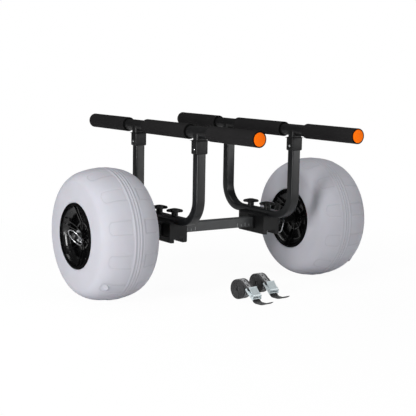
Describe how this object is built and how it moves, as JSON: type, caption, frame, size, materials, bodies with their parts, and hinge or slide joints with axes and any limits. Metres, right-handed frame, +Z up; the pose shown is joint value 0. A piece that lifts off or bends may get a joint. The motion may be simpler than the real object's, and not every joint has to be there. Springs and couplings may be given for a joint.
{
  "type": "kayak cart",
  "caption": "Two-wheeled beach cart for kayaks: balloon tyres on a through axle, sliding U frames with padded bunk bars, lock pins and rolled cam buckle straps.",
  "frame": {"origin": "on the floor, under the middle of the cross beam", "axes": "+X along the axle towards the right wheel, +Y along the bunk bars away from the viewer, +Z up"},
  "size_m": [0.8468, 0.784, 0.4402],
  "materials": {
    "foam": "closed cell foam, matt black",
    "tube": "satin dark grey anodised tube",
    "bar_tube": "drawn tube, satin",
    "tee": "satin moulded nylon",
    "block": "satin moulded nylon",
    "cap": "satin orange",
    "steel": "zinc plated",
    "axle": "black oxide, satin",
    "rim": "gloss black",
    "black_plastic": "satin black",
    "knob": "satin black",
    "tyre": "soft matt pale grey",
    "valve": "matt pale grey",
    "webbing": "woven polyester"
  },
  "bodies": {
    "chassis": {"cross_beam": "tube", "beam_end_plugs": "black_plastic", "axle_rod": "axle", "axle_spacers": "black_plastic", "axle_washers": "steel", "lock_pins": "steel"},
    "wheel_left": {"tyre_left": "tyre", "rim_left": "rim", "hub_bushes_left": "black_plastic", "valve_plug_left": "valve"},
    "side_left": {"clamp_block_left": "block", "u_frame_left": "tube", "tee_sockets_left": "tee", "bunk_tube_left": "bar_tube", "foam_front_left": "foam", "foam_middle_left": "foam", "foam_back_left": "foam", "end_caps_left": "cap", "snap_springs_left": "steel", "knob_washers_left": "steel", "nut_plate_left": "steel"},
    "knob_front_left": {"knob_front_left": "knob", "knob_stud_front_left": "steel"},
    "snap_button_front_left": {"snap_button_front_left": "steel"},
    "knob_back_left": {"knob_back_left": "knob", "knob_stud_back_left": "steel"},
    "snap_button_back_left": {"snap_button_back_left": "steel"},
    "pin_ring_left": {"pin_ring_left": "steel"},
    "pin_bail_left": {"pin_bail_left": "steel"},
    "wheel_right": {"tyre_right": "tyre", "rim_right": "rim", "hub_bushes_right": "black_plastic", "valve_plug_right": "valve"},
    "side_right": {"clamp_block_right": "block", "u_frame_right": "tube", "tee_sockets_right": "tee", "bunk_tube_right": "bar_tube", "foam_front_right": "foam", "foam_middle_right": "foam", "foam_back_right": "foam", "end_caps_right": "cap", "snap_springs_right": "steel", "knob_washers_right": "steel", "nut_plate_right": "steel"},
    "knob_front_right": {"knob_front_right": "knob", "knob_stud_front_right": "steel"},
    "snap_button_front_right": {"snap_button_front_right": "steel"},
    "knob_back_right": {"knob_back_right": "knob", "knob_stud_back_right": "steel"},
    "snap_button_back_right": {"snap_button_back_right": "steel"},
    "pin_ring_right": {"pin_ring_right": "steel"},
    "pin_bail_right": {"pin_bail_right": "steel"},
    "strap_left": {"strap_webbing_left": "webbing", "buckle_frame_left": "steel", "cam_pin_left": "steel"},
    "cam_lever_left": {"cam_lever_left": "steel"},
    "strap_right": {"strap_webbing_right": "webbing", "buckle_frame_right": "steel", "cam_pin_right": "steel"},
    "cam_lever_right": {"cam_lever_right": "steel"}
  },
  "joints": [
    {"name": "wheel_spin_left", "type": "hinge", "parent": "chassis", "child": "wheel_left", "pos_m": [-0.33, 0, 0.165], "axis": [1, 0, 0], "continuous": true},
    {"name": "side_slide_left", "type": "slide", "parent": "chassis", "child": "side_left", "axis": [1, 0, 0], "range_m": [-0.035, 0.06]},
    {"name": "knob_turn_front_left", "type": "hinge", "parent": "side_left", "child": "knob_front_left", "pos_m": [-0.147, -0.037, 0.21], "axis": [0, 0, 1], "continuous": true},
    {"name": "button_press_front_left", "type": "slide", "parent": "side_left", "child": "snap_button_front_left", "axis": [1, 0, 0], "range_m": [0, 0.003], "stiffness_N_per_m": 500, "springref_m": -0.008, "deforming": ["snap_springs_left"]},
    {"name": "knob_turn_back_left", "type": "hinge", "parent": "side_left", "child": "knob_back_left", "pos_m": [-0.147, 0.037, 0.21], "axis": [0, 0, 1], "continuous": true},
    {"name": "button_press_back_left", "type": "slide", "parent": "side_left", "child": "snap_button_back_left", "axis": [1, 0, 0], "range_m": [0, 0.003], "stiffness_N_per_m": 500, "springref_m": -0.008, "deforming": ["snap_springs_left"]},
    {"name": "ring_swing_left", "type": "hinge", "parent": "chassis", "child": "pin_ring_left", "pos_m": [-0.404, -0.0219, 0.15703], "axis": [-0.5, -0.2962, 0.8138], "range_deg": [0, 120]},
    {"name": "bail_swing_left", "type": "hinge", "parent": "chassis", "child": "pin_bail_left", "pos_m": [-0.221, -0.01222, 0.16055], "axis": [-1, 0, 0], "range_deg": [0, 110]},
    {"name": "wheel_spin_right", "type": "hinge", "parent": "chassis", "child": "wheel_right", "pos_m": [0.33, 0, 0.165], "axis": [1, 0, 0], "continuous": true},
    {"name": "side_slide_right", "type": "slide", "parent": "chassis", "child": "side_right", "axis": [1, 0, 0], "range_m": [-0.06, 0.035]},
    {"name": "knob_turn_front_right", "type": "hinge", "parent": "side_right", "child": "knob_front_right", "pos_m": [0.147, -0.037, 0.21], "axis": [0, 0, 1], "continuous": true},
    {"name": "button_press_front_right", "type": "slide", "parent": "side_right", "child": "snap_button_front_right", "axis": [1, 0, 0], "range_m": [0, 0.003], "stiffness_N_per_m": 500, "springref_m": -0.008, "deforming": ["snap_springs_right"]},
    {"name": "knob_turn_back_right", "type": "hinge", "parent": "side_right", "child": "knob_back_right", "pos_m": [0.147, 0.037, 0.21], "axis": [0, 0, 1], "continuous": true},
    {"name": "button_press_back_right", "type": "slide", "parent": "side_right", "child": "snap_button_back_right", "axis": [1, 0, 0], "range_m": [0, 0.003], "stiffness_N_per_m": 500, "springref_m": -0.008, "deforming": ["snap_springs_right"]},
    {"name": "ring_swing_right", "type": "hinge", "parent": "chassis", "child": "pin_ring_right", "pos_m": [0.404, -0.0219, 0.15703], "axis": [-0.5, 0.2962, -0.8138], "range_deg": [0, 120]},
    {"name": "bail_swing_right", "type": "hinge", "parent": "chassis", "child": "pin_bail_right", "pos_m": [0.221, -0.01222, 0.16055], "axis": [-1, 0, 0], "range_deg": [0, 110]},
    {"name": "strap_lift_left", "type": "slide", "parent": "chassis", "child": "strap_left", "axis": [0, 0, 1], "range_m": [0, 0.1]},
    {"name": "lever_lift_left", "type": "hinge", "parent": "strap_left", "child": "cam_lever_left", "pos_m": [-0.02109, -0.22224, 0.0178], "axis": [0.9925, 0.1219, 0], "range_deg": [0, 80], "stiffness_Nm_per_rad": 0.02, "springref_deg": -22.92},
    {"name": "strap_lift_right", "type": "slide", "parent": "chassis", "child": "strap_right", "axis": [0, 0, 1], "range_m": [0, 0.1]},
    {"name": "lever_lift_right", "type": "hinge", "parent": "strap_right", "child": "cam_lever_right", "pos_m": [0.05995, -0.18653, 0.0178], "axis": [0.9976, 0.0698, 0], "range_deg": [0, 80], "stiffness_Nm_per_rad": 0.02, "springref_deg": -22.92}
  ]
}
